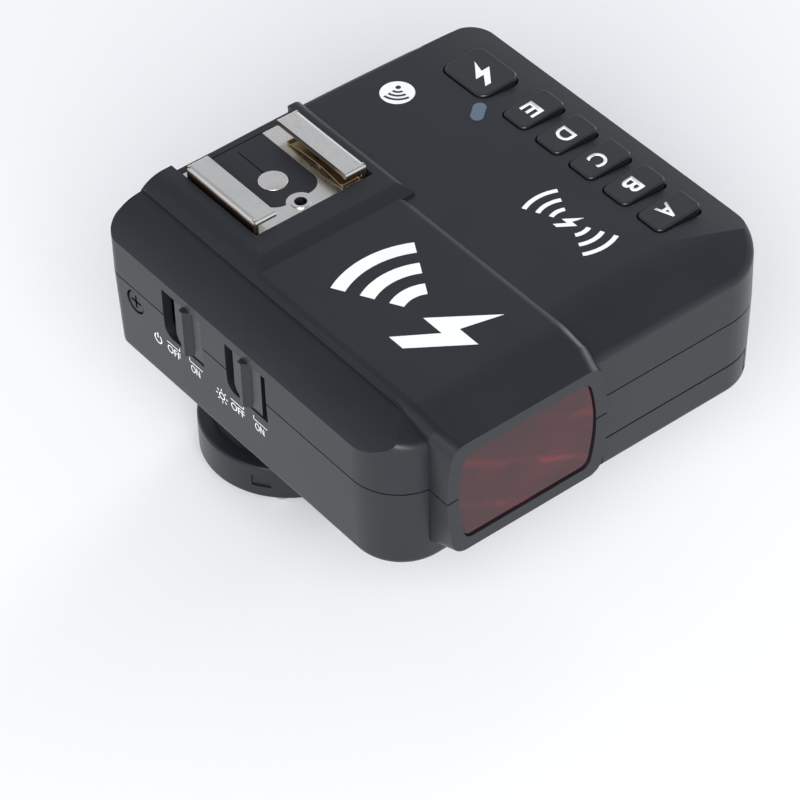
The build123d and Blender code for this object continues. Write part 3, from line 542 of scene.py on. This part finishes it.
def print_on(node, name, mesh, centre, right, up, paint=WHITE_INK, body="root", over=0.0):
    """Drop a flat mesh in millimetres onto a solid. right and up are the directions that a reader sees."""
    right, up, centre = Vector(right), Vector(up), Vector(centre) * MM
    normal = right.cross(up)
    sheet = bmesh.new()
    sheet.from_mesh(mesh)
    for vertex in sheet.verts:
        start = centre + (right * vertex.co.x + up * vertex.co.y) * MM + normal * DROP
        hit = surface(node).ray_cast(start, -normal)[0]
        if hit is None:
            raise ValueError(f"{name} runs off {node}")
        vertex.co = hit + normal * (INK_GAP + over)
    raised = bmesh.ops.extrude_face_region(sheet, geom=list(sheet.faces))["geom"]
    bmesh.ops.translate(sheet, verts=[g for g in raised if isinstance(g, bmesh.types.BMVert)],
                        vec=normal * INK_THICK)
    bmesh.ops.recalc_face_normals(sheet, faces=sheet.faces)
    sheet.to_mesh(mesh)
    sheet.free()
    mesh.materials.clear()
    mesh.materials.append(paint)
    piece = bpy.data.objects.new(name, mesh)
    bpy.context.scene.collection.objects.link(piece)
    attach(piece, body)


def middle(node):
    low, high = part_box(node)
    return (low + high) / 2 / MM


TOWARDS_FRONT, TOWARDS_BACK = (0, -1, 0), (0, 1, 0)
TOWARDS_LEFT, SKYWARD = (-1, 0, 0), (0, 0, 1)
print("printing by ray from", round(DROP / MM), "mm above")

# %% [markdown]
# ## Marks on the deck keys
# The photographer reads the keys from behind the camera, so their tops point to the front and their text
# runs towards -X. Group keys carry the letters A to E, and the large key carries a flash bolt.

# %% Key letters and the test bolt
LETTER_X, LETTER_SIZE, LETTER_BOLD = 39.15, (3.1, 2.45), 0.02
TEST_BOLT, TEST_SHIFT = 5.6, -0.4  # the bolt's height, and its place in front of the key's middle

for letter in "abcde":
    node = f"group_key_{letter}"
    key = middle(node)
    print_on(node, f"mark_{node}", lettered(letter, letter.upper(), *LETTER_SIZE, bold=LETTER_BOLD),
             (LETTER_X, key.y, key.z), TOWARDS_LEFT, TOWARDS_FRONT, body=node)
key = middle("test_key")
print_on("test_key", "mark_test_key", filled("test_bolt", [bolt(0, 0, TEST_BOLT)]),
         (key.x, key.y + TEST_SHIFT, key.z), TOWARDS_LEFT, TOWARDS_FRONT, body="test_key")

# %% [markdown]
# ## Marks on the deck
# Three marks lie on the deck. A large flash and wave symbol fills the raised band in front of the shoe, a
# small one stands beside the keys, and a round badge near the back corner says that the device has a
# radio link. They are read from the right-hand side, so up is towards -X.

# %% The large symbol, the small symbol and the round badge
def big_symbol():
    arcs = waves(-4.6, 0.3, (5.6, 10.2, 14.8), width=2.3, facing=0, spread=29)
    return filled("big_symbol", [bolt(-9.0, 0.3, height=15.6)] + arcs)


def small_symbol():
    right, left = (waves(0, 0, (3.0, 5.2, 7.4), width=0.75, facing=way, spread=26) for way in (0, 180))
    return filled("small_symbol", [bolt(0, 0, height=4.4)] + right + left)


def badge_waves():
    arcs = waves(-0.9, -0.9, (1.15, 2.05, 2.95), width=0.42, facing=45, spread=40)
    return filled("badge_waves", arcs + [disc(-0.9, -0.9, radius=0.42)])


TOP_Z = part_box("top_housing")[1].z / MM
BIG_PLACE, SMALL_PLACE, BADGE_PLACE = (-1.1, -34.2, TOP_Z), (27.0, -35.6, TOP_Z), (26.5, 4.5, TOP_Z)
BADGE_RADIUS = 2.75
print_on("top_housing", "print_big_symbol", big_symbol(), BIG_PLACE, TOWARDS_BACK, TOWARDS_LEFT)
print_on("top_housing", "print_small_symbol", small_symbol(), SMALL_PLACE, TOWARDS_BACK, TOWARDS_LEFT)
print_on("top_housing", "print_badge", filled("badge", [disc(0, 0, BADGE_RADIUS)]), BADGE_PLACE,
         TOWARDS_LEFT, TOWARDS_FRONT)
print_on("top_housing", "print_badge_waves", badge_waves(), BADGE_PLACE, TOWARDS_LEFT, TOWARDS_FRONT,
         paint=BLACK_INK, over=INK_THICK + INK_GAP)

# %% [markdown]
# ## Legends for the two slide switches
# Under each window stand a symbol and the words OFF and ON, with thin leader lines that point at the
# knob's two places. A power sign marks the first switch, and a lamp with rays marks the focus-lamp
# switch.

# %% Left wall legends
def power_sign():
    ring = ring_part(0, 0, radius=0.85, width=0.26, start=125, end=415)
    return filled("power_sign", [ring, bar(0, 0.25, 0, 1.2, width=0.26)])


def lamp_sign():
    ring = ring_part(0, 0, radius=0.62, width=0.22, start=0, end=359.9)
    rays = [bar(*polar(0, 0, 1.0, turn), *polar(0, 0, 1.45, turn), width=0.2) for turn in range(0, 360, 45)]
    return filled("lamp_sign", [ring] + rays)


def leader(tick_at_end):
    """A line over a word, with a short tick up to the knob's place."""
    half, rise, width = 1.6, 0.75, 0.16
    tick = half if tick_at_end else -half
    return filled("leader", [bar(-half, 0, half, 0, width), bar(tick, width / 2, tick, rise, width)])


LEFT_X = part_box("bottom_housing")[0].x / MM
WORD_HEIGHT, OFF_WIDTH, ON_WIDTH, LINE_RISE, ON_LINE_SHIFT = 1.45, 3.3, 2.2, 1.25, 0.35
# The distance of the sign, OFF and ON in front of the foot's axis, and their height
LEGENDS = {"power": (0.7, 4.75, 10.1, 37.6, power_sign), "beam": (16.6, 20.5, 25.8, 37.2, lamp_sign)}
for switch, (sign_y, off_y, on_y, z, sign) in LEGENDS.items():
    marks = [("sign", sign(), sign_y, z),
             ("off", lettered("off", "OFF", WORD_HEIGHT, OFF_WIDTH), off_y, z),
             ("on", lettered("on", "ON", WORD_HEIGHT, ON_WIDTH), on_y, z),
             ("off_line", leader(True), off_y, z + LINE_RISE),
             ("on_line", leader(False), on_y + ON_LINE_SHIFT, z + LINE_RISE)]
    for part, mesh, along, height in marks:
        print_on("bottom_housing", f"print_{switch}_{part}", mesh, (LEFT_X, -along, height),
                 TOWARDS_FRONT, SKYWARD)

# %% [markdown]
# ## The display and the back keys
# Behind the clear window the liquid crystal shows a channel, the five groups with their power and a
# battery sign. The segments are dark ink that lies on the film, drawn from the same strokes and letters as
# the printed marks.

# %% Display segments
def on_display(name, mesh, x, z):
    print_on("display_module", f"segment_{name}", mesh, (x, FILM_Y, z), TOWARDS_LEFT, SKYWARD,
             paint=SEGMENT_INK)


DISPLAY, FILM_Y = middle("display_window"), middle("display_module").y
TOP_ROW, RULE, LETTER_ROW, POWER_ROW = (DISPLAY.z + rise for rise in (4.2, 2.2, -0.2, -3.6))
GROUP_PITCH = 6.3
GROUPS = [("A", "1/1"), ("B", "1/2"), ("C", "1/4"), ("D", "1/8"), ("E", "1/16")]
for i, (group, power) in enumerate(GROUPS):
    x = DISPLAY.x + GROUP_PITCH * (2 - i)
    on_display(f"group_{group}", lettered(group, group, 1.7), x, LETTER_ROW)
    on_display(f"power_{group}", lettered(group, power, 1.9), x, POWER_ROW)
on_display("channel", lettered("channel", "CH 1", 2.0), DISPLAY.x + 11.6, TOP_ROW)
on_display("line", filled("line", [bar(-15.8, 0, 15.8, 0, width=0.16)]), DISPLAY.x, RULE)
case = [box_outline(-1.6, -0.8, 1.4, 0.8), box_outline(-1.4, -0.6, 1.2, 0.6)]
level = [box_outline(-1.2, -0.4, 0.4, 0.4), box_outline(1.5, -0.35, 1.8, 0.35)]
for part, outlines in (("battery", case), ("battery_level", level)):
    on_display(part, filled(part, outlines), DISPLAY.x - 13.4, TOP_ROW)
radio_waves = waves(-0.6, -0.6, (0.6, 1.2, 1.8), width=0.24, facing=45, spread=42)
on_display("waves", filled("waves", radio_waves), DISPLAY.x - 8.6, TOP_ROW)

# %% [markdown]
# ## Marks on the back keys and the dial
# The four keys below the display carry three bars, a dot, and arrows up and down. The key in the middle
# of the select dial says SET. Each mark rides on its own key.

# %% Marks on the back keys and the dial
BACK_SIGNS = [[bar(-1.1, y, 1.1, y, 0.3) for y in (-0.65, 0, 0.65)], [disc(0, 0, 0.62)],
              [[(-0.8, -0.5), (0.8, -0.5), (0, 0.75)]], [[(-0.8, 0.5), (0, -0.75), (0.8, 0.5)]]]
for i, sign in enumerate(BACK_SIGNS, 1):
    node = f"back_key_{i}"
    key = middle(node)
    print_on(node, f"mark_{node}", filled(node, sign), key, TOWARDS_LEFT, SKYWARD, body=node)
key = middle("set_key")
print_on("set_key", "mark_set_key", lettered("set", "SET", 1.5), key, TOWARDS_LEFT, SKYWARD, body="set_key")

# %% [markdown] ## The floor The trigger stands on a plain pale sheet that is much wider than the view,
# so no edge of it shows.

# %% Floor
def floor_finish():
    bench = Bench("floor_paper")
    cloud = bench.noise(0.3, detail=2.0)
    tone = bench.mix(cloud, (0.80, 0.80, 0.80), (0.84, 0.84, 0.84))
    return bench.finish(Base_Color=tone, Roughness=0.9 - cloud * 0.05)


floor_mesh = bpy.data.meshes.new("floor")
FLOOR_SIZE, FLOOR_Z = 4.0, -0.0006
corners = [(-1, -1), (1, -1), (1, 1), (-1, 1)]
floor_mesh.from_pydata([(x * FLOOR_SIZE, y * FLOOR_SIZE, FLOOR_Z) for x, y in corners], [], [(0, 1, 2, 3)])
floor_mesh.materials.append(floor_finish())
floor = bpy.data.objects.new("floor", floor_mesh)
bpy.context.scene.collection.objects.link(floor)
print("floor:", FLOOR_SIZE * 2, "m across")

# %% [markdown]
# ## Light
# Black plastic shows its shape by what it mirrors. A room that is bright near the floor and dark overhead
# makes the walls read lighter than the deck. One broad lamp on the camera's side fills the front and the
# left wall, and a weak one from the right picks out the keys and the rails of the shoe.

# %% Lamps and sky
def soft_lamp(name, place, target, size, power):
    lamp = bpy.data.lights.new(name, "AREA")
    lamp.shape, lamp.size, lamp.size_y = "RECTANGLE", size[0], size[1]
    lamp.energy = power
    stand = bpy.data.objects.new(name, lamp)
    stand.location = place
    stand.rotation_euler = (Vector(target) - Vector(place)).to_track_quat("-Z", "Y").to_euler()
    bpy.context.scene.collection.objects.link(stand)


AIM = (0.01, -0.02, 0.04)
soft_lamp("camera_side", (-0.75, -0.95, 0.90), AIM, size=(1.1, 0.9), power=30)
soft_lamp("key_side", (0.95, 0.25, 0.45), AIM, size=(0.35, 0.6), power=2.5)

# Brightness of the room by height, from level at 0 to straight up at 1
SKY = [(0.0, (0.95, 0.97, 1.00)), (0.30, (0.85, 0.88, 0.93)), (0.66, (0.50, 0.53, 0.58)),
       (0.74, (0.42, 0.45, 0.50)), (0.92, (0.13, 0.14, 0.16))]


def sky_gradient():
    bench = Bench("sky", bpy.data.worlds)
    direction = bench.node("ShaderNodeTexCoord", out="Generated")
    height = bench.node("ShaderNodeSeparateXYZ", {}, {0: direction}, out="Z")
    colour = bench.node("ShaderNodeValToRGB", {"stops": SKY}, {0: height})
    glow = bench.node("ShaderNodeBackground", {}, {"Color": colour})
    bench.node("ShaderNodeOutputWorld", {}, {"Surface": glow})
    return bench.owner


bpy.context.scene.world = sky_gradient()
bpy.context.scene.view_settings.view_transform = "Standard"

# %% [markdown]
# ## Camera
# The camera looks down at the front left corner from about 60 centimetres, rolled a little to one side. A
# long lens keeps the far edges nearly parallel to the near ones. Its three directions are set rather than
# aimed at a point, because an aimed camera can not be rolled.

# %% Camera
LENS, SENSOR = 172.2, 36.0
CAMERA_PLACE = (-0.25104, -0.35941, 0.42184)
RIGHTWARD, UPWARD = (0.78221, -0.62253, -0.02465), (0.44114, 0.52549, 0.72749)
BACKWARD = (-0.43993, -0.57993, 0.68567)

lens = bpy.data.cameras.new("camera")
lens.lens, lens.sensor_width, lens.clip_start = LENS, SENSOR, 0.01
camera = bpy.data.objects.new("camera", lens)
turn = Matrix((RIGHTWARD, UPWARD, BACKWARD)).transposed().to_4x4()
camera.matrix_world = Matrix.Translation(CAMERA_PLACE) @ turn
bpy.context.scene.collection.objects.link(camera)
bpy.context.scene.camera = camera
print("camera at", [round(c, 3) for c in camera.location], "lens", lens.lens, "mm")

# %% [markdown]
